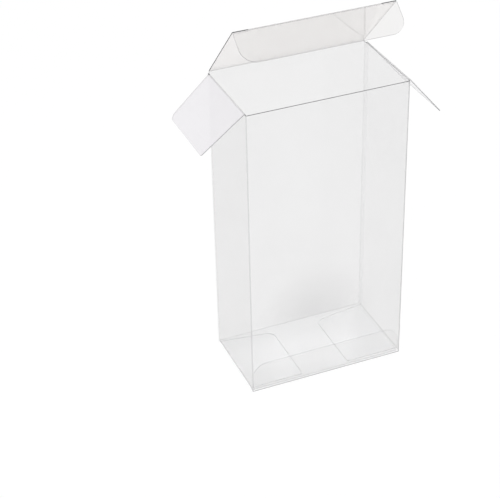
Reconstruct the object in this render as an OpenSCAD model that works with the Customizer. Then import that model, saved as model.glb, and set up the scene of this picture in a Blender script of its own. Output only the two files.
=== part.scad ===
// Clear box protector: a tube of creased plastic film with a lid, two dust flaps
// and a tucked bottom, standing upright with its lid open.
// X runs along the front, Y runs to the back and Z is up.
// The origin is the middle of the base, on the surface that the box stands on.

/* [Box] */
// Width over the outside of the side walls
box_w = 78; // [60:0.5:110]
// Depth over the outside of the front and back walls
box_d = 44.5; // [38:0.5:70]
// Height from the base to the crease of the lid
box_h = 149.3; // [110:0.1:200]
// How far the front and side walls stop below the crease of the lid
rim_drop = 1.3; // [0.4:0.1:2]

/* [Film] */
// Thickness of the film
film = 0.4; // [0.3:0.05:0.5]
// Outer radius of the four upright bends
bend_r = 0.8; // [0.6:0.1:1.4]
// Half the width of a creased line that a flap turns on
crease = 0.3; // [0.28:0.02:0.4]
// Width of the glued tab inside the right wall, at its back edge
glue_tab = 4; // [3:0.5:12]

/* [Lid] */
// Angle that the lid stands open from closed
lid_open = 46; // [30:1:80]
// Room between each side of the lid and the side wall
lid_side_gap = 0.3; // [0.25:0.05:0.6]
// Room between a closed tuck flap and the front wall
tuck_gap = 0.4; // [0.3:0.05:0.6]
// Length of each slit that frees the ends of the tuck flap's crease
slit_len = 7; // [4:0.5:10]
// Width of the slits
slit_w = 0.5; // [0.4:0.05:0.8]

/* [Tuck flap] */
// Length of the tuck flap from its crease
tuck_len = 15.2; // [11:0.2:18]
// Radius of the two free corners of the tuck flap
tuck_corner = 7.2; // [3:0.2:9]
// Angle that the tuck flap is folded in from the flat lid
tuck_fold = 85; // [70:1:95]

/* [Dust flaps] */
// Length of a dust flap from its crease
dust_len = 25.5; // [15:0.5:32]
// How much the back edge of a dust flap slopes in over its length
dust_taper = 4; // [1:0.5:8]
// Radius of the back free corner of a dust flap
dust_corner = 3.5; // [1:0.5:6]
// Radius of the front free corner of a dust flap
dust_front_corner = 1; // [0.5:0.25:3]
// Distance from the back wall to the back end of a dust flap's crease
dust_back_gap = 1.4; // [0.8:0.1:4]
// Distance from the front wall to the front end of an upper dust flap's crease
dust_front_gap = 0.6; // [0.5:0.1:3]
// Angle that the left dust flap hangs below the level
left_droop = 37; // [0:1:80]
// Angle that the right dust flap hangs below the level
right_droop = 50; // [0:1:80]

/* [Bottom] */
// Length of a bottom dust flap from its crease
bottom_dust_len = 27; // [15:0.5:34]
// Length of the bottom tuck flap from its crease
bottom_tuck_len = 14; // [10:0.2:15]
// Distance from the front wall to the front edge of a folded-in bottom dust flap
bottom_dust_front_gap = 2; // [1.9:0.1:4]
// Air between the bottom panel and the dust flaps that lie on it
layer_gap = 0.2; // [0.15:0.05:0.4]

/* [Hidden] */

FILM_TINT = [0.90, 0.93, 0.96, 0.45];
FLAP_TINT = [0.84, 0.89, 0.95, 0.45];
TUCK_TINT = [0.76, 0.83, 0.92, 0.45];

// Sides of an arc's circle and points along a rounded corner
ARC_SIDES = 48;
CORNER_POINTS = 10;
// A cut runs this far past what it removes
SPARE = 1;

wall_top = box_h - rim_drop;
inside_w = box_w - 2 * film;
inside_d = box_d - 2 * film;

// The lid and the bottom panel turn on lines in the middle of the back wall
hinge_y = box_d / 2 - film / 2;
panel_w = inside_w - 2 * lid_side_gap;
panel_len = inside_d - film / 2 - tuck_gap;
bottom_hinge_z = film / 2;

// A dust flap's crease runs between these two places along the side wall
dust_front_y = -inside_d / 2 + dust_front_gap;
dust_back_y = inside_d / 2 - dust_back_gap;
bottom_dust_front_y = -inside_d / 2 + bottom_dust_front_gap;
bottom_dust_z = film + layer_gap;

// An upper dust flap turns on the outer edge of its side wall, a crease above it
dust_hinge_z = wall_top + crease;

// Unit vector from one point to another
function towards(from, to) = (to - from) / norm(to - from);

// Arc of radius r that rounds corner b between its neighbours a and c
function rounded_corner(a, b, c, r) =
  let (
    u = towards(b, a),
    v = towards(b, c),
    half = acos(u * v) / 2,
    centre = b + towards([0, 0], u + v) * r / sin(half),
    from = b + u * r / tan(half) - centre,
    to = b + v * r / tan(half) - centre,
    sweep = 180 - 2 * half,
    turn = cross(from, to) > 0 ? 1 : -1
  )
  [for (i = [0 : CORNER_POINTS])
    let (angle = turn * sweep * i / CORNER_POINTS)
    centre + [from.x * cos(angle) - from.y * sin(angle),
              from.x * sin(angle) + from.y * cos(angle)]];

// A flat blank of film through the given corners, each with its own radius
module blank(corners, radii) {
  count = len(corners);
  outline = [for (i = [0 : count - 1])
    each radii[i] > 0
      ? rounded_corner(corners[(i + count - 1) % count], corners[i],
                       corners[(i + 1) % count], radii[i])
      : [corners[i]]];
  translate([0, 0, -film / 2])
    linear_extrude(film)
      polygon(outline);
}

// A rectangle with rounded corners, centred on the origin
module rounded_rectangle(width, depth, radius) {
  square([width - 2 * radius, depth], center = true);
  square([width, depth - 2 * radius], center = true);
  for (side_x = [-1, 1], side_y = [-1, 1])
    translate([side_x * (width / 2 - radius), side_y * (depth / 2 - radius)])
      circle(radius, $fn = ARC_SIDES);
}

// The four walls, bent from one strip
module wall_tube() {
  difference() {
    linear_extrude(box_h - crease)
      difference() {
        rounded_rectangle(box_w, box_d, bend_r);
        rounded_rectangle(inside_w, inside_d, bend_r - film);
      }
    // The front and side walls stop short of the lid's crease
    translate([-box_w / 2 - SPARE, -box_d / 2 - SPARE, wall_top])
      cube([box_w + 2 * SPARE, box_d + SPARE - bend_r, box_h]);
    // So do the two back bends, up to the ends of the lid
    for (side = [-1, 1])
      translate([side * (panel_w / 2 + box_w / 2), 0, wall_top + box_h / 2])
        cube([box_w, box_d + 2 * SPARE, box_h], center = true);
    // The side walls are folded in above the bottom panel
    for (side = [-1, 1])
      translate([side * box_w / 2, 0, 0])
        cube([2 * bend_r + 2 * film, inside_d - 2 * bend_r, 2 * bottom_dust_z],
             center = true);
    // The back wall ends at the bottom panel's crease
    translate([0, box_d / 2, 0])
      cube([box_w + 2 * SPARE, 2 * bend_r + 2 * film, 2 * (bottom_hinge_z + crease)],
           center = true);
  }
}

// The narrow tab that closes the tube, glued inside the right wall
module seam_tab() {
  tab_bottom = bottom_dust_z + film;
  into_wall = film / 2;
  translate([inside_w / 2 - film, inside_d / 2 - glue_tab, tab_bottom])
    cube([film + into_wall, glue_tab + into_wall, wall_top - tab_bottom]);
}

// Outline of a dust flap: x runs out from its crease, y along it to the back.
// Its front edge is square to the crease and its back edge slopes in.
module dust_blank(from_x, length, front_y) {
  blank([[from_x, front_y],
         [length, front_y],
         [length, dust_back_y - dust_taper],
         [from_x, dust_back_y]],
        [0, dust_front_corner, dust_corner, 0]);
}

// The two bottom dust flaps stay folded in, one from each side wall
module bottom_dust_flaps() {
  for (side = [0, 1])
    mirror([side, 0, 0])
      translate([-box_w / 2, 0, bottom_dust_z + film / 2])
        dust_blank(0, bottom_dust_len, bottom_dust_front_y);
}

module sleeve() {
  color(FILM_TINT) {
    wall_tube();
    seam_tab();
    bottom_dust_flaps();
  }
}

// Outline of a tuck flap: y runs out from its crease. Its middle starts at the
// crease, its two ends start past the slits, and its free corners are round.
module tuck_blank(length) {
  end_x = panel_w / 2;
  slit_x = end_x - slit_len;
  blank([[-slit_x, crease], [-slit_x, slit_w], [-end_x, slit_w],
         [-end_x, length], [end_x, length],
         [end_x, slit_w], [slit_x, slit_w], [slit_x, crease]],
        [0, 0, 0, tuck_corner, tuck_corner, 0, 0, 0]);
}

// Outline of a panel that ends in a tuck flap. Its two ends reach past the
// crease line, where the slits free them.
module panel_blank() {
  end_x = panel_w / 2;
  slit_x = end_x - slit_len;
  blank([[-end_x, crease], [end_x, crease],
         [end_x, panel_len], [slit_x, panel_len],
         [slit_x, panel_len - crease], [-slit_x, panel_len - crease],
         [-slit_x, panel_len], [-end_x, panel_len]],
        [0, 0, 0, 0, 0, 0, 0, 0]);
}

// Puts what is drawn flat where the open lid is: y runs out along the lid and
// z points into the box
module on_lid() {
  translate([0, hinge_y, box_h])
    rotate([180 - lid_open, 0, 0])
      children();
}

// Puts a tuck flap at the end of its panel, folded in about the crease's inner
// edge, so that it can fold right over without biting into the panel
module folded_in(fold) {
  translate([0, panel_len, film / 2])
    rotate([fold, 0, 0])
      translate([0, 0, -film / 2])
        children();
}

module lid() {
  color(FLAP_TINT)
    on_lid()
      panel_blank();
}

module tuck_flap() {
  color(TUCK_TINT)
    on_lid()
      folded_in(tuck_fold)
        tuck_blank(tuck_len);
}

// An upper dust flap on the left, hanging out at droop below the level.
// It turns on its own outer face, so folded right back it lies on the wall.
module hanging_dust_flap(droop) {
  translate([-box_w / 2, 0, dust_hinge_z])
    rotate([0, -droop, 0])
      mirror([1, 0, 0])
        translate([0, 0, film / 2])
          dust_blank(crease, dust_len, dust_front_y);
}

module left_dust_flap() {
  color(FLAP_TINT)
    hanging_dust_flap(left_droop);
}

module right_dust_flap() {
  color(FLAP_TINT)
    mirror([1, 0, 0])
      hanging_dust_flap(right_droop);
}

// Puts what is drawn flat where the bottom panel is: y runs out along it and
// z points into the box
module on_bottom() {
  translate([0, hinge_y, bottom_hinge_z])
    mirror([0, 1, 0])
      children();
}

module bottom_panel() {
  color(FLAP_TINT)
    on_bottom()
      panel_blank();
}

module bottom_tuck_flap() {
  color(TUCK_TINT)
    on_bottom()
      folded_in(90)
        tuck_blank(bottom_tuck_len);
}

sleeve();
lid();
tuck_flap();
left_dust_flap();
right_dust_flap();
bottom_panel();
bottom_tuck_flap();
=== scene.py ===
import math

import bmesh
import bpy
from mathutils import Matrix, Vector


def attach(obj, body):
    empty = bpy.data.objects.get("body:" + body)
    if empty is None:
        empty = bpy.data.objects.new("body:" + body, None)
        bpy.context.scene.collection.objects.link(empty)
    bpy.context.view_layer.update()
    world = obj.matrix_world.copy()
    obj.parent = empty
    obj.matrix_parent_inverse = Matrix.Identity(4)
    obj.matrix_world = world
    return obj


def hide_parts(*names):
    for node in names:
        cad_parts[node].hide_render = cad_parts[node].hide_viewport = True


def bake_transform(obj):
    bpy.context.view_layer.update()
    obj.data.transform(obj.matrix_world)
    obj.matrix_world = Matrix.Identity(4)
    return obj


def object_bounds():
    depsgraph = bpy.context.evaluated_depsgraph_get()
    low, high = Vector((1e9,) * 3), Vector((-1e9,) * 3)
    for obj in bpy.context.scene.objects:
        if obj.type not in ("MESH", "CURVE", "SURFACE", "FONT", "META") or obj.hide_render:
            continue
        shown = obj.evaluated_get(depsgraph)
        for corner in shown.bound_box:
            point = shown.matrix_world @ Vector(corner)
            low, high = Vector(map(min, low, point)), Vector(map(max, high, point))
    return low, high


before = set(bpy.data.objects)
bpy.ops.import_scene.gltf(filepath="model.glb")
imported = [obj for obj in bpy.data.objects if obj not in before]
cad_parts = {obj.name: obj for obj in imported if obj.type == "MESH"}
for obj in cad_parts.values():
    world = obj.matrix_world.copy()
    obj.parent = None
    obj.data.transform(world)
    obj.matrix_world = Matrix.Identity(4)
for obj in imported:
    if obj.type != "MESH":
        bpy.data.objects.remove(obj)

cad_low, cad_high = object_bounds()
MM = 0.001


# Camera: set where the photograph was taken from, in front and to the left,
# looking down into the open box. The place and the lens were fitted to the
# eight corners of the box.
CAMERA_PLACE = (-0.24203, -0.53347, 0.44112)
CAMERA_TURN = (
    (0.92354, 0.22651, -0.30947),
    (-0.38289, 0.49887, -0.77751),
    (-0.02173, 0.83656, 0.54746),
)
CAMERA_LENS = 106.16
CAMERA_SENSOR = 36.0

camera_data = bpy.data.cameras.new("camera")
camera_data.lens = CAMERA_LENS
camera_data.sensor_width = CAMERA_SENSOR
camera = bpy.data.objects.new("camera", camera_data)
bpy.context.scene.collection.objects.link(camera)
camera.matrix_world = Matrix.Translation(CAMERA_PLACE) @ Matrix(CAMERA_TURN).to_4x4()
bpy.context.scene.camera = camera


# Studio: a white sweep that stays white in the film's reflections, a pale floor
# that keeps the faint shadow of the film, and large soft lamps.
ROOM_LIGHT = 0.86
FLOOR_SIZE = 6.0
FLOOR_DROP = 0.3 * MM
FLOOR_TONE = 0.98
FLOOR_WHITE = 0.85
# A ray may meet many thicknesses of film on its way through the box
FILM_LAYERS = 64


def node(tree, kind, **settings):
    """Adds a node and sets what is named: a socket by its name, or else a property."""
    made = tree.nodes.new(kind)
    for name, value in settings.items():
        label = name.replace("_", " ")
        if label in made.inputs:
            made.inputs[label].default_value = value
        else:
            setattr(made, name, value)
    return made


def maths(tree, operation, first, second):
    """Adds a Math node on two values, each a number or the socket that gives it."""
    made = tree.nodes.new("ShaderNodeMath")
    made.operation = operation
    for place, value in enumerate((first, second)):
        if isinstance(value, bpy.types.NodeSocket):
            tree.links.new(value, made.inputs[place])
        else:
            made.inputs[place].default_value = value
    return made.outputs[0]


def seen_directly(tree):
    """1 for rays that come from the camera, from a gloss or through glass."""
    path = tree.nodes.new("ShaderNodeLightPath").outputs
    gloss = maths(tree, "MAXIMUM", path["Is Glossy Ray"], path["Is Transmission Ray"])
    return maths(tree, "MAXIMUM", path["Is Camera Ray"], gloss)


bpy.context.scene.cycles.transparent_max_bounces = FILM_LAYERS

world = bpy.data.worlds.new("studio")
bpy.context.scene.world = world
world.use_nodes = True
sky = world.node_tree
sky.nodes.clear()
sky_seen = node(sky, "ShaderNodeBackground", Color=(1, 1, 1, 1), Strength=1.0)
sky_light = node(sky, "ShaderNodeBackground", Color=(1, 1, 1, 1), Strength=ROOM_LIGHT)
sky_mix = sky.nodes.new("ShaderNodeMixShader")
sky_out = sky.nodes.new("ShaderNodeOutputWorld")
sky.links.new(seen_directly(sky), sky_mix.inputs[0])
sky.links.new(sky_light.outputs[0], sky_mix.inputs[1])
sky.links.new(sky_seen.outputs[0], sky_mix.inputs[2])
sky.links.new(sky_mix.outputs[0], sky_out.inputs[0])

floor_material = bpy.data.materials.new("pale_floor")
floor_material.use_nodes = True
ground = floor_material.node_tree
ground_shader = ground.nodes["Principled BSDF"]
ground_shader.inputs["Base Color"].default_value = (FLOOR_TONE, FLOOR_TONE, FLOOR_TONE, 1)
ground_shader.inputs["Roughness"].default_value = 0.9
ground_shader.inputs["Specular IOR Level"].default_value = 0.0
# Seen directly, most of the floor is plain white and the rest keeps the shadow
ground_white = node(ground, "ShaderNodeEmission", Color=(1, 1, 1, 1), Strength=1.0)
ground_mix = ground.nodes.new("ShaderNodeMixShader")
ground.links.new(maths(ground, "MULTIPLY", seen_directly(ground), FLOOR_WHITE), ground_mix.inputs[0])
ground.links.new(ground_shader.outputs[0], ground_mix.inputs[1])
ground.links.new(ground_white.outputs[0], ground_mix.inputs[2])
ground.links.new(ground_mix.outputs[0], ground.nodes["Material Output"].inputs["Surface"])
floor_bm = bmesh.new()
bmesh.ops.create_grid(floor_bm, x_segments=1, y_segments=1, size=FLOOR_SIZE / 2)
bmesh.ops.translate(floor_bm, vec=(0, 0, -FLOOR_DROP), verts=floor_bm.verts)
floor_mesh = bpy.data.meshes.new("floor")
floor_bm.to_mesh(floor_mesh)
floor_bm.free()
floor_mesh.materials.append(floor_material)
floor = bpy.data.objects.new("floor", floor_mesh)
bpy.context.scene.collection.objects.link(floor)


def soft_lamp(name, place, aim, width, height, watts):
    """A soft lamp at place, turned to face aim."""
    data = bpy.data.lights.new(name, "AREA")
    data.shape = "RECTANGLE"
    data.size = width
    data.size_y = height
    data.energy = watts
    lamp = bpy.data.objects.new(name, data)
    bpy.context.scene.collection.objects.link(lamp)
    lamp.location = place
    lamp.rotation_euler = (Vector(place) - Vector(aim)).to_track_quat("Z", "Y").to_euler()
    return lamp


MIDDLE = (0, 0, 0.08)
soft_lamp("key_lamp", (-0.9, -0.7, 1.1), MIDDLE, 0.9, 0.9, 5.0)
soft_lamp("fill_lamp", (1.1, -0.6, 0.8), MIDDLE, 1.0, 1.0, 3.0)
# A long strip behind the box, which the bottom panel shows as a soft band
soft_lamp("strip_lamp", (0.41, 1.05, 0.86), MIDDLE, 1.2, 0.05, 0.9)


# Clear film: a sheet of clear PET, 0.4 mm thick, with a faint grey haze, a soft
# gloss and hairline rubs from handling. The film's own finish, with a patch of
# painted shade, is one node group, placed with each kind of film's tone and haze.
FILM = 0.4 * MM
# Room light and lamps pass the film almost whole, so it barely shades itself
LIGHT_HELD_BACK = 0.15
# A soft grey patch of painted shade low on the back wall, darkest at its middle
PAINTED_SHADE_MIDDLE = (14 * MM, 22 * MM, 0)
PAINTED_SHADE_REACH = 36 * MM


def new_group(name, inputs, outputs):
    """A node group with these sockets, and its two end nodes."""
    group = bpy.data.node_groups.new(name, "ShaderNodeTree")
    for label, kind in inputs:
        group.interface.new_socket(name=label, in_out="INPUT", socket_type=kind)
    for label, kind in outputs:
        group.interface.new_socket(name=label, in_out="OUTPUT", socket_type=kind)
    return group, group.nodes.new("NodeGroupInput"), group.nodes.new("NodeGroupOutput")


VALUE, COLOUR = "NodeSocketFloat", "NodeSocketColor"
film_finish_and_shade, finish_in, finish_out = new_group(
    "film_finish_and_shade",
    (("Tone", COLOUR), ("Haze", VALUE), ("Cloud", VALUE), ("Gloss", VALUE), ("PaintedShade", VALUE)),
    (("Colour", COLOUR), ("Alpha", VALUE), ("Roughness", VALUE), ("Height", VALUE)),
)
place = node(film_finish_and_shade, "ShaderNodeTexCoord").outputs["Object"]
# Broad clouds, a few centimetres across, where the film is a little duller
clouds = node(film_finish_and_shade, "ShaderNodeTexNoise", Scale=22.0, Detail=2.0, Roughness=0.5)
film_finish_and_shade.links.new(place, clouds.inputs["Vector"])
cloud_shift = maths(film_finish_and_shade, "SUBTRACT", clouds.outputs["Fac"], 0.5)
cloud_share = maths(film_finish_and_shade, "MULTIPLY", cloud_shift, finish_in.outputs["Cloud"])
duller = maths(film_finish_and_shade, "ADD", cloud_share, 1.0)
# Hairline rubs, long and thin and slanting
slant = node(film_finish_and_shade, "ShaderNodeMapping", Rotation=(0.3, 0.5, 0.7), Scale=(2600, 60, 900))
film_finish_and_shade.links.new(place, slant.inputs["Vector"])
hairs = node(film_finish_and_shade, "ShaderNodeTexNoise", Scale=1.0, Detail=1.0, Roughness=0.4)
film_finish_and_shade.links.new(slant.outputs[0], hairs.inputs["Vector"])
rub = maths(film_finish_and_shade, "GREATER_THAN", hairs.outputs["Fac"], 0.73)
rub_share = maths(film_finish_and_shade, "MULTIPLY", rub, 0.02)
alpha = maths(film_finish_and_shade, "MULTIPLY", finish_in.outputs["Haze"], duller)
alpha = maths(film_finish_and_shade, "ADD", alpha, rub_share)
# Painted shade: the film is hazier, and so darker, near the patch's middle
painted_shade_far = node(film_finish_and_shade, "ShaderNodeVectorMath", operation="DISTANCE")
painted_shade_far.inputs[1].default_value = PAINTED_SHADE_MIDDLE
film_finish_and_shade.links.new(place, painted_shade_far.inputs[0])
painted_shade_near = node(
    film_finish_and_shade, "ShaderNodeMapRange", interpolation_type="SMOOTHSTEP",
    From_Min=0.0, From_Max=PAINTED_SHADE_REACH, To_Min=1.0, To_Max=0.0,
)
film_finish_and_shade.links.new(painted_shade_far.outputs["Value"], painted_shade_near.inputs["Value"])
painted_shade = maths(film_finish_and_shade, "MULTIPLY", painted_shade_near.outputs[0], finish_in.outputs["PaintedShade"])
alpha = maths(film_finish_and_shade, "ADD", alpha, painted_shade)
film_finish_and_shade.links.new(alpha, finish_out.inputs["Alpha"])
# The duller clouds are a little darker too
tint = node(film_finish_and_shade, "ShaderNodeMix", data_type="RGBA", blend_type="MULTIPLY")
tint.inputs["Factor"].default_value = 1.0
shade = maths(film_finish_and_shade, "SUBTRACT", 1.0, maths(film_finish_and_shade, "MULTIPLY", cloud_share, 0.2))
film_finish_and_shade.links.new(finish_in.outputs["Tone"], tint.inputs["A"])
film_finish_and_shade.links.new(shade, tint.inputs["B"])
film_finish_and_shade.links.new(tint.outputs["Result"], finish_out.inputs["Colour"])
rough = maths(film_finish_and_shade, "ADD", finish_in.outputs["Gloss"], rub_share)
rough = maths(film_finish_and_shade, "ADD", rough, maths(film_finish_and_shade, "MULTIPLY", cloud_share, 0.05))
film_finish_and_shade.links.new(rough, finish_out.inputs["Roughness"])
# The sheet is never quite flat
waves = node(film_finish_and_shade, "ShaderNodeTexNoise", Scale=35.0, Detail=1.0, Roughness=0.3)
film_finish_and_shade.links.new(place, waves.inputs["Vector"])
film_finish_and_shade.links.new(waves.outputs["Fac"], finish_out.inputs["Height"])


def film_material(
    name, tone, haze, cloud=0.3, gloss=0.05, graze=0.15, waviness=0.004, index=2.0,
    painted_shade=0.0, coat=0.0, mirrored=0.0,
):
    """Clear film of one tone, less clear where it is seen at a low angle, and by
    the share mirrored stronger where other film mirrors it."""
    material = bpy.data.materials.new(name)
    material.use_nodes = True
    tree = material.node_tree
    shader = tree.nodes["Principled BSDF"]
    shader.inputs["IOR"].default_value = index
    shader.inputs["Coat Weight"].default_value = coat
    shader.inputs["Coat Roughness"].default_value = gloss
    shader.inputs["Coat IOR"].default_value = index
    finish = tree.nodes.new("ShaderNodeGroup")
    finish.node_tree = film_finish_and_shade
    finish.inputs["Tone"].default_value = (*tone, 1)
    finish.inputs["Haze"].default_value = haze
    finish.inputs["Cloud"].default_value = cloud
    finish.inputs["Gloss"].default_value = gloss
    finish.inputs["PaintedShade"].default_value = painted_shade
    tree.links.new(finish.outputs["Colour"], shader.inputs["Base Color"])
    tree.links.new(finish.outputs["Roughness"], shader.inputs["Roughness"])
    bump = node(tree, "ShaderNodeBump", Strength=waviness, Distance=1.0 * MM)
    tree.links.new(finish.outputs["Height"], bump.inputs["Height"])
    tree.links.new(bump.outputs[0], shader.inputs["Normal"])
    facing = node(tree, "ShaderNodeLayerWeight", Blend=0.5).outputs["Facing"]
    low_angle = maths(tree, "MULTIPLY", maths(tree, "POWER", facing, 3.0), graze)
    clear = maths(tree, "SUBTRACT", 1.0, finish.outputs["Alpha"])
    seen = maths(tree, "ADD", finish.outputs["Alpha"], maths(tree, "MULTIPLY", clear, low_angle))
    path = tree.nodes.new("ShaderNodeLightPath").outputs
    lighting = maths(tree, "MAXIMUM", path["Is Shadow Ray"], path["Is Diffuse Ray"])
    let_by = maths(tree, "MULTIPLY", lighting, 1.0 - LIGHT_HELD_BACK)
    let_by = maths(tree, "SUBTRACT", 1.0, let_by)
    stronger = maths(tree, "MULTIPLY", path["Is Glossy Ray"], mirrored)
    let_by = maths(tree, "ADD", let_by, stronger)
    seen = maths(tree, "MINIMUM", maths(tree, "MULTIPLY", seen, let_by), 1.0)
    tree.links.new(seen, shader.inputs["Alpha"])
    return material


front_film = film_material("front_film", (0.68, 0.68, 0.69), 0.075)
left_wall_film = film_material("left_wall_film", (0.60, 0.595, 0.60), 0.12)
# The back walls carry the patch of painted shade low down
wall_film = film_material("wall_film", (0.48, 0.472, 0.477), 0.165, painted_shade=0.16, mirrored=0.6)
dust_flap_film = film_material(
    "dust_flap_film", (0.79, 0.775, 0.80), 0.62, gloss=0.12, waviness=0.001
)
# The lid is seen at a low angle, where film mirrors the box below it
lid_clear_film = film_material(
    "lid_clear_film", (0.79, 0.75, 0.735), 0.16, gloss=0.005, graze=1.0, waviness=0.001,
    index=3.0, coat=1.0,
)
tuck_clear_film = film_material(
    "tuck_clear_film", (0.63, 0.615, 0.605), 0.22, gloss=0.015, graze=0.2, waviness=0.002, index=2.2
)
foot_clear_film = film_material("foot_clear_film", (0.50, 0.50, 0.51), 0.19, index=1.6)
foot_tuck_clear_film = film_material("foot_tuck_clear_film", (0.52, 0.51, 0.50), 0.06)
# Painted shade: a cut edge bends light away through the film's depth, so it is painted as a thin dark
# line
cut_edge = film_material("cut_edge", (0.03, 0.03, 0.035), 0.97, cloud=0.02, gloss=0.3, index=1.3)
pale_cut_edge = film_material("pale_cut_edge", (0.15, 0.15, 0.16), 0.72, cloud=0.1, gloss=0.3)
flap_cut_edge = film_material("flap_cut_edge", (0.22, 0.22, 0.23), 0.75, cloud=0.1, gloss=0.3)
foot_cut_edge = film_material("foot_cut_edge", (0.42, 0.42, 0.43), 0.5, cloud=0.1, gloss=0.3)
# A bend or crease throws light aside, so it is greyer than the flat film
sharp_bend_film = film_material(
    "sharp_bend_film", (0.03, 0.03, 0.035), 0.48, cloud=0.6, gloss=0.15, graze=1.0, index=1.5
)
bend_film = film_material(
    "bend_film", (0.20, 0.20, 0.21), 0.16, gloss=0.15, graze=0.8, mirrored=5.0
)
crease_film = film_material(
    "crease_film", (0.22, 0.22, 0.22), 0.27, gloss=0.15, graze=0.35, mirrored=2.6
)
pale_crease_film = film_material(
    "pale_crease_film", (0.32, 0.32, 0.32), 0.14, gloss=0.5, graze=0.3, index=1.4
)
foot_fold_film = film_material(
    "foot_fold_film", (0.25, 0.25, 0.25), 0.26, gloss=0.5, graze=0.3, index=1.3
)


# Sleeve: four walls bent from one strip of film and closed by a glued tab inside
# the right wall, at the back. The two bottom dust flaps are folded in from the
# side walls and lie on the bottom panel.
BOX_W, BOX_D = 78.0 * MM, 44.5 * MM
BEND_R = 0.5 * MM
WALL_TOP = 148.0 * MM
BACK_TOP = 149.0 * MM
BACK_FOOT = 0.5 * MM
LID_HALF = 38.3 * MM
SLIT_X = 31.3 * MM
TAB_WIDTH = 4.0 * MM
DUST_LEN, DUST_TAPER = 25.5 * MM, 4.0 * MM
FOOT_DUST_LEN = 27.0 * MM
DUST_CORNER, DUST_FRONT_CORNER = 3.5 * MM, 1.0 * MM
DUST_FRONT, DUST_BACK = -21.25 * MM, 20.45 * MM
FOOT_DUST_FRONT = -19.85 * MM
FOOT_DUST_LEVEL = 0.6 * MM
FOOT_FOLD_R = 0.6 * MM
# How much of the film beside a clean cut is painted dark with it, as shade
CUT_BAND = 0.06 * MM
# Room between two pieces that meet at a crease, so that their ends don't touch
JOIN_GAP = 0.02 * MM
SMALL = 0.01 * MM


def blank(low, high):
    """A flat rectangle of film between two corners, in the XY plane."""
    sheet = bmesh.new()
    bmesh.ops.create_grid(sheet, x_segments=1, y_segments=1, size=0.5)
    size = (high[0] - low[0], high[1] - low[1], 1)
    middle = ((low[0] + high[0]) / 2, (low[1] + high[1]) / 2, 0)
    bmesh.ops.scale(sheet, vec=size, verts=sheet.verts)
    bmesh.ops.translate(sheet, vec=middle, verts=sheet.verts)
    return sheet


def round_off(sheet, corners, radius, segments=8):
    """Rounds the corners of a flat sheet."""
    bmesh.ops.bevel(
        sheet, geom=corners, offset=radius, offset_type="OFFSET", segments=segments,
        profile=0.5, affect="VERTICES", material=-1,
    )


def cut_across(sheet, axis, places):
    """Cuts the sheet's faces along planes square to one axis."""
    square = Vector([1.0 if axis == i else 0.0 for i in range(3)])
    for spot in places:
        bmesh.ops.bisect_plane(
            sheet, geom=sheet.verts[:] + sheet.edges[:] + sheet.faces[:],
            plane_co=square * spot, plane_no=square, dist=SMALL / 10,
        )


def drop_faces(sheet, unwanted):
    """Removes the faces whose middles fit a test."""
    found = [f for f in sheet.faces if unwanted(f.calc_center_median())]
    bmesh.ops.delete(sheet, geom=found, context="FACES")


def steps_between(low, high, count):
    """Evenly spaced places between two ends, both left out."""
    return [low + (high - low) * i / count for i in range(1, count)]


# Material slots of each film piece: flat film, bend or crease, cut edge
FLAT, BENT, CUT = 0, 1, 2


def thick_film(name, sheet, lie, film, edge=cut_edge, bend=crease_film):
    """Gives a sheet the film's thickness, with its rim as a cut edge, and makes
    it an object. lie is -1 for thickness behind the sheet and 0 for both sides."""
    surface = bpy.data.meshes.new(name + "_surface")
    sheet.to_mesh(surface)
    sheet.free()
    piece = bpy.data.objects.new(name, surface)
    bpy.context.scene.collection.objects.link(piece)
    for material in (film, bend, edge):
        surface.materials.append(material)
    solid = piece.modifiers.new("thickness", "SOLIDIFY")
    solid.thickness = FILM
    solid.offset = lie
    solid.use_even_offset = True
    solid.use_quality_normals = True
    solid.material_offset_rim = CUT
    seen = piece.evaluated_get(bpy.context.evaluated_depsgraph_get())
    mesh = bpy.data.meshes.new_from_object(seen)
    mesh.name = name
    piece.modifiers.clear()
    piece.data = mesh
    bpy.data.meshes.remove(surface)
    return piece


def smooth_film(piece):
    """Smooth shading that keeps the film's cut edges crisp. A crease that bulges
    past the box that the part is cut for is pressed back to it."""
    for vertex in piece.data.vertices:
        for i in range(3):
            vertex.co[i] = min(max(vertex.co[i], cad_low[i]), cad_high[i])
    piece.data.polygons.foreach_set("use_smooth", [True] * len(piece.data.polygons))
    piece.data.set_sharp_from_angle(angle=math.radians(40))
    piece.data.update()


tube = blank((-BOX_W / 2, -BOX_D / 2), (BOX_W / 2, BOX_D / 2))
round_off(tube, tube.verts[:], BEND_R, segments=6)
bmesh.ops.delete(tube, geom=tube.faces[:], context="FACES_ONLY")
raised = bmesh.ops.extrude_edge_only(tube, edges=tube.edges[:])["geom"]
raised = [v for v in raised if isinstance(v, bmesh.types.BMVert)]
bmesh.ops.translate(tube, vec=(0, 0, BACK_TOP), verts=raised)
bmesh.ops.recalc_face_normals(tube, faces=tube.faces[:])
front_face = min(tube.faces, key=lambda f: f.calc_center_median().y)
if front_face.normal.y > 0:
    bmesh.ops.reverse_faces(tube, faces=tube.faces[:])

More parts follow.
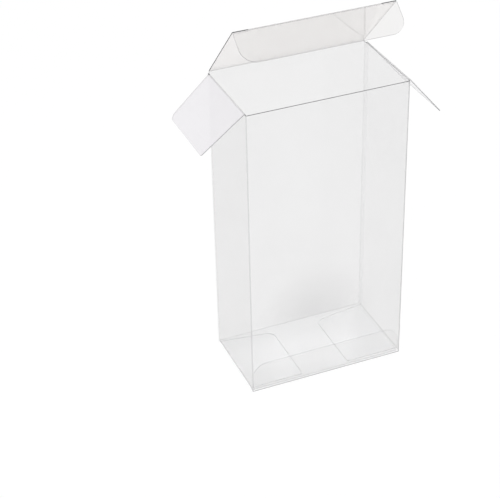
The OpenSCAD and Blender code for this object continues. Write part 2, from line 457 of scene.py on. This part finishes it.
foot_fold_top = FOOT_DUST_LEVEL + FOOT_FOLD_R
cut_across(tube, 2, [BACK_FOOT, FOOT_DUST_LEVEL, foot_fold_top, WALL_TOP - CUT_BAND, WALL_TOP])
cut_across(tube, 2, steps_between(0, WALL_TOP, 7))
cut_across(tube, 0, [-LID_HALF, LID_HALF] + steps_between(-LID_HALF, LID_HALF, 6))
cut_across(tube, 1, [FOOT_DUST_FRONT, DUST_FRONT, DUST_BACK])
cut_across(tube, 1, steps_between(FOOT_DUST_FRONT, DUST_BACK, 4))
flat_y = BOX_D / 2 - BEND_R
drop_faces(tube, lambda c: c.z > WALL_TOP and not (c.y > BOX_D / 2 - SMALL and abs(c.x) < LID_HALF))
drop_faces(tube, lambda c: c.z < BACK_FOOT and c.y > flat_y)
drop_faces(tube, lambda c: c.z < FOOT_DUST_LEVEL and abs(c.y) < flat_y and abs(c.x) > BOX_W / 2 - SMALL)
drop_faces(
    tube,
    lambda c: c.z < foot_fold_top and FOOT_DUST_FRONT < c.y < DUST_BACK and abs(c.x) > BOX_W / 2 - SMALL,
)
for side in (-1, 1):
    fold_line = [
        e for e in tube.edges
        if e.is_boundary and all(
            abs(v.co.z - foot_fold_top) < SMALL
            and v.co.x * side > BOX_W / 2 - SMALL
            and FOOT_DUST_FRONT - SMALL < v.co.y < DUST_BACK + SMALL
            for v in e.verts
        )
    ]
    turned = bmesh.ops.spin(
        tube, geom=fold_line, cent=(side * (BOX_W / 2 - FOOT_FOLD_R), 0, foot_fold_top),
        axis=(0, side, 0), dvec=(0, 0, 0), angle=math.pi / 2, steps=4,
        use_merge=False, use_duplicate=False,
    )["geom_last"]
    fold_end = [e for e in turned if isinstance(e, bmesh.types.BMEdge)]
    reach = FOOT_DUST_LEN - FOOT_FOLD_R
    free = bmesh.ops.extrude_edge_only(tube, edges=fold_end)["geom"]
    free = [v for v in free if isinstance(v, bmesh.types.BMVert)]
    bmesh.ops.translate(tube, vec=(-side * reach, 0, 0), verts=free)
    crease_len = DUST_BACK - FOOT_DUST_FRONT
    for v in free:
        v.co.y -= DUST_TAPER * (v.co.y - FOOT_DUST_FRONT) / crease_len
    back_corner = max(free, key=lambda v: v.co.y)
    front_corner = min(free, key=lambda v: v.co.y)
    round_off(tube, [back_corner], DUST_CORNER)
    round_off(tube, [front_corner], DUST_FRONT_CORNER)
for face in tube.faces:
    spot = face.calc_center_median()
    at_bend = abs(spot.x) > BOX_W / 2 - BEND_R and abs(spot.y) > flat_y
    at_fold = FOOT_DUST_LEVEL + SMALL < spot.z < foot_fold_top and abs(spot.y) < flat_y
    if at_bend or (at_fold and abs(spot.x) > BOX_W / 2 - FOOT_FOLD_R and abs(face.normal.z) > 0.05):
        face.material_index = BENT

sleeve_film = thick_film("sleeve_film", tube, -1, front_film, bend=bend_film)
for material in (
    wall_film, left_wall_film, sharp_bend_film, foot_cut_edge, foot_fold_film, pale_cut_edge,
    flap_cut_edge,
):
    sleeve_film.data.materials.append(material)
BACK_WALLS, LEFT_WALL, SHARP_BEND, FOOT_CUT, FOOT_FOLD, FOOT_RIM, FOOT_FLAP_END = range(3, 10)
flap_end_x = BOX_W / 2 - FOOT_DUST_LEN + DUST_CORNER / 2
for face in sleeve_film.data.polygons:
    spot = face.center
    on_back_walls = spot.y > flat_y or spot.x > BOX_W / 2 - BEND_R
    # Where a flap is creased on, the film runs on: its rim there isn't a cut
    top_crease = spot.z > WALL_TOP - SMALL and DUST_FRONT < spot.y < DUST_BACK
    back_crease = spot.y > flat_y and (spot.z > BACK_TOP - SMALL or spot.z < BACK_FOOT + SMALL)
    if face.material_index == CUT:
        if top_crease or back_crease:
            face.material_index = FLAT
        elif spot.z < foot_fold_top and spot.y < -flat_y:
            face.material_index = FOOT_RIM
        elif spot.z < foot_fold_top:
            face.material_index = FOOT_FLAP_END if abs(spot.x) < flap_end_x else FOOT_CUT
    elif face.material_index == BENT and spot.z < foot_fold_top and abs(spot.y) < flat_y:
        face.material_index = FOOT_FOLD
    elif face.material_index == BENT and spot.y < -flat_y and spot.x > 0:
        face.material_index = SHARP_BEND
    elif face.material_index == FLAT and spot.y < -flat_y and spot.z > WALL_TOP - CUT_BAND:
        face.material_index = CUT
    elif face.material_index == FLAT and spot.y < -flat_y and spot.z < BACK_FOOT:
        face.material_index = BENT
    if face.material_index == FLAT and on_back_walls:
        face.material_index = BACK_WALLS
    elif face.material_index == FLAT and spot.x < -BOX_W / 2 + BEND_R and spot.z > foot_fold_top:
        face.material_index = LEFT_WALL
smooth_film(sleeve_film)

tab = blank((-TAB_WIDTH / 2, foot_fold_top), (TAB_WIDTH / 2, WALL_TOP))
cut_across(tab, 1, steps_between(foot_fold_top, WALL_TOP, 7))
seam_tab = thick_film("seam_tab", tab, 0, front_film, edge=front_film)
glue_line = 0.05 * MM
tab_x = BOX_W / 2 - FILM - glue_line - FILM / 2
tab_y = BOX_D / 2 - FILM - TAB_WIDTH / 2
stand_up = Matrix(((0, 0, 1), (1, 0, 0), (0, 1, 0))).to_4x4()
seam_tab.data.transform(Matrix.Translation((tab_x, tab_y, 0)) @ stand_up)
smooth_film(seam_tab)

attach(sleeve_film, "sleeve")
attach(seam_tab, "sleeve")
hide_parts("sleeve")


# Lid: the top panel, creased along the top of the back wall and standing open
# at 46 degrees. Its ends reach past the tuck flap's crease, where slits free them.
CREASE = 0.3 * MM
HINGE_Y = 22.05 * MM
LID_HINGE_Z = 149.3 * MM
LID_OPEN = 46.0
PANEL_LEN = 43.1 * MM
CREASE_STEPS = 6


def turn_at_crease(piece, hinge_y, hinge_z, from_y, to_y, degrees):
    """Folds a flat piece about a crease along X. Nothing turns up to from_y, all
    that lies past to_y turns by the whole angle, and the crease turns smoothly."""
    hinge = Vector((0, hinge_y, hinge_z))
    for vertex in piece.data.vertices:
        share = min(max((vertex.co.y - from_y) / (to_y - from_y), 0.0), 1.0)
        share = share * share * (3 - 2 * share)
        turn = Matrix.Rotation(math.radians(degrees) * share, 3, "X")
        arm = Vector((0, vertex.co.y, vertex.co.z)) - hinge
        turned = turn @ arm + hinge
        vertex.co.y, vertex.co.z = turned.y, turned.z


def mark_crease(sheet, middle):
    """Gives the band of film along a crease its own material."""
    for face in sheet.faces:
        if abs(face.calc_center_median().y - middle) < CREASE:
            face.material_index = BENT


def join_crease(piece, place_y, half_width=LID_HALF):
    """The film runs on past the end of a piece that starts or ends at a crease, so
    that end isn't a cut edge."""
    for face in piece.data.polygons:
        at_end = abs(face.center.y - place_y) < SMALL and abs(face.center.x) < half_width
        if face.material_index == CUT and at_end:
            face.material_index = FLAT


def creased_panel(name, film, bend=crease_film, edge=cut_edge):
    """A panel that starts in its wall, below the crease, and ends at the crease
    of its tuck flap. Y runs out along it and Z points into the box."""
    start, crease_end = JOIN_GAP - CREASE, PANEL_LEN - CREASE
    sheet = blank((-LID_HALF, start), (LID_HALF, PANEL_LEN))
    cut_across(sheet, 0, [-SLIT_X, SLIT_X] + steps_between(-SLIT_X, SLIT_X, 4))
    cut_across(sheet, 0, [CUT_BAND - LID_HALF, LID_HALF - CUT_BAND])
    cut_across(sheet, 1, [CREASE, crease_end])
    cut_across(sheet, 1, steps_between(-CREASE, CREASE, CREASE_STEPS))
    cut_across(sheet, 1, steps_between(CREASE, crease_end, 4))
    drop_faces(sheet, lambda c: abs(c.x) < SLIT_X and c.y > crease_end)
    mark_crease(sheet, 0)
    for face in sheet.faces:
        spot = face.calc_center_median()
        if abs(spot.x) > LID_HALF - CUT_BAND and spot.y > CREASE:
            face.material_index = CUT
    panel = thick_film(name, sheet, 0, film, bend=bend, edge=edge)
    join_crease(panel, start)
    join_crease(panel, crease_end, SLIT_X)
    return panel


on_lid = Matrix.Translation((0, HINGE_Y, LID_HINGE_Z)) @ Matrix.Rotation(
    math.radians(180 - LID_OPEN), 4, "X"
)
lid_film = creased_panel("lid_film", lid_clear_film)
lid_film.data.materials.append(flap_cut_edge)
PALE_CUT = 3
for face in lid_film.data.polygons:
    # The lid's right edge catches the light
    if face.material_index == CUT and face.center.x > LID_HALF - SMALL:
        face.material_index = PALE_CUT
turn_at_crease(lid_film, 0, 0, CREASE, -CREASE, LID_OPEN - 90)
lid_film.data.transform(on_lid)
smooth_film(lid_film)
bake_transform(lid_film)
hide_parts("lid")


# Tuck flap: the lid's end, folded in at 85 degrees, with round free corners. A
# slit at each end of its crease frees the ends, which lock behind the walls.
TUCK_LEN, TUCK_FOLD = 15.2 * MM, 85.0
TUCK_CORNER = 7.2 * MM
SLIT_W = 0.5 * MM


def creased_tuck(name, length, degrees, film, bend=crease_film, edge=pale_cut_edge):
    """A tuck flap, folded in about the inner edge of its crease, with its place
    along the panel that it ends."""
    start = JOIN_GAP - CREASE
    sheet = blank((-LID_HALF, start), (LID_HALF, length))
    free = [v for v in sheet.verts if v.co.y > length / 2]
    round_off(sheet, free, TUCK_CORNER, segments=12)
    cut_across(sheet, 0, [-SLIT_X, SLIT_X] + steps_between(-SLIT_X, SLIT_X, 4))
    cut_across(sheet, 1, [CREASE, SLIT_W])
    cut_across(sheet, 1, steps_between(-CREASE, CREASE, CREASE_STEPS))
    cut_across(sheet, 1, steps_between(SLIT_W, length, 3))
    drop_faces(sheet, lambda c: abs(c.x) > SLIT_X and c.y < SLIT_W)
    mark_crease(sheet, 0)
    tuck = thick_film(name, sheet, 0, film, edge=edge, bend=bend)
    join_crease(tuck, start)
    turn_at_crease(tuck, 0, FILM / 2, -CREASE, CREASE, degrees)
    tuck.data.transform(Matrix.Translation((0, PANEL_LEN, 0)))
    return tuck


tuck_film = creased_tuck("tuck_film", TUCK_LEN, TUCK_FOLD, tuck_clear_film)
tuck_film.data.transform(on_lid)
smooth_film(tuck_film)
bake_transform(tuck_film)
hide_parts("tuck_flap")


# Dust flaps: one on each side wall, creased on its top edge and hanging out over
# the side. The back edge slopes in and the free corners are rounded.
DUST_HINGE_Z = 148.3 * MM
DUST_DROOP = {"left": 37.0, "right": 50.0}
DUST_BEND = {"left": pale_crease_film, "right": crease_film}

for name, side in (("left", -1), ("right", 1)):
    droop = math.radians(DUST_DROOP[name])
    # X runs to the back on the left and to the front on the right
    ends = sorted((-side * DUST_FRONT, -side * DUST_BACK))
    start = JOIN_GAP - CREASE
    sheet = blank((ends[0], start), (ends[1], DUST_LEN))
    free = [v for v in sheet.verts if v.co.y > DUST_LEN / 2]
    back_corner = max(free, key=lambda v: -side * v.co.x)
    front_corner = min(free, key=lambda v: -side * v.co.x)
    back_corner.co.x += side * DUST_TAPER
    round_off(sheet, [back_corner], DUST_CORNER)
    front_corner = min(sheet.verts, key=lambda v: -side * v.co.x - v.co.y)
    round_off(sheet, [front_corner], DUST_FRONT_CORNER)
    cut_across(sheet, 1, [CREASE])
    cut_across(sheet, 1, steps_between(-CREASE, CREASE, CREASE_STEPS))
    cut_across(sheet, 1, steps_between(CREASE, DUST_LEN, 4))
    cut_across(sheet, 0, steps_between(ends[0], ends[1], 4))
    mark_crease(sheet, 0)
    flap = thick_film(
        name + "_dust_film", sheet, 0, dust_flap_film, edge=flap_cut_edge, bend=DUST_BEND[name]
    )
    join_crease(flap, start)
    flap.data.transform(Matrix.Translation((0, 0, FILM / 2)))
    turn_at_crease(flap, 0, 0, CREASE, -CREASE, 90 + DUST_DROOP[name])
    out = Vector((side * math.cos(droop), 0, -math.sin(droop)))
    up = Vector((side * math.sin(droop), 0, math.cos(droop)))
    along = out.cross(up)
    hang = Matrix((along, out, up)).transposed().to_4x4()
    hinge = Vector((side * BOX_W / 2, 0, DUST_HINGE_Z))
    flap.data.transform(Matrix.Translation(hinge) @ hang)
    smooth_film(flap)
    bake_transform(flap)
    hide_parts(name + "_dust_flap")


# Bottom panel and its tuck flap: creased along the foot of the back wall and
# tucked up inside the front wall, so that the box stands closed on it.
FOOT_HINGE_Z = 0.2 * MM
FOOT_TUCK_LEN = 14.0 * MM
SQUARE = 90.0

on_foot = Matrix.Translation((0, HINGE_Y, FOOT_HINGE_Z)) @ Matrix.Rotation(math.pi, 4, "Z")
foot_film = creased_panel("foot_film", foot_clear_film, bend=bend_film, edge=foot_cut_edge)
turn_at_crease(foot_film, 0, 0, CREASE, -CREASE, -SQUARE)
foot_film.data.transform(on_foot)
smooth_film(foot_film)
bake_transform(foot_film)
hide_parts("bottom_panel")

foot_tuck_film = creased_tuck(
    "foot_tuck_film", FOOT_TUCK_LEN, SQUARE, foot_tuck_clear_film, pale_crease_film, foot_cut_edge
)
foot_tuck_film.data.transform(on_foot)
smooth_film(foot_tuck_film)
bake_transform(foot_tuck_film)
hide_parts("bottom_tuck_flap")


view = bpy.context.scene.view_settings
view.view_transform = "Standard"
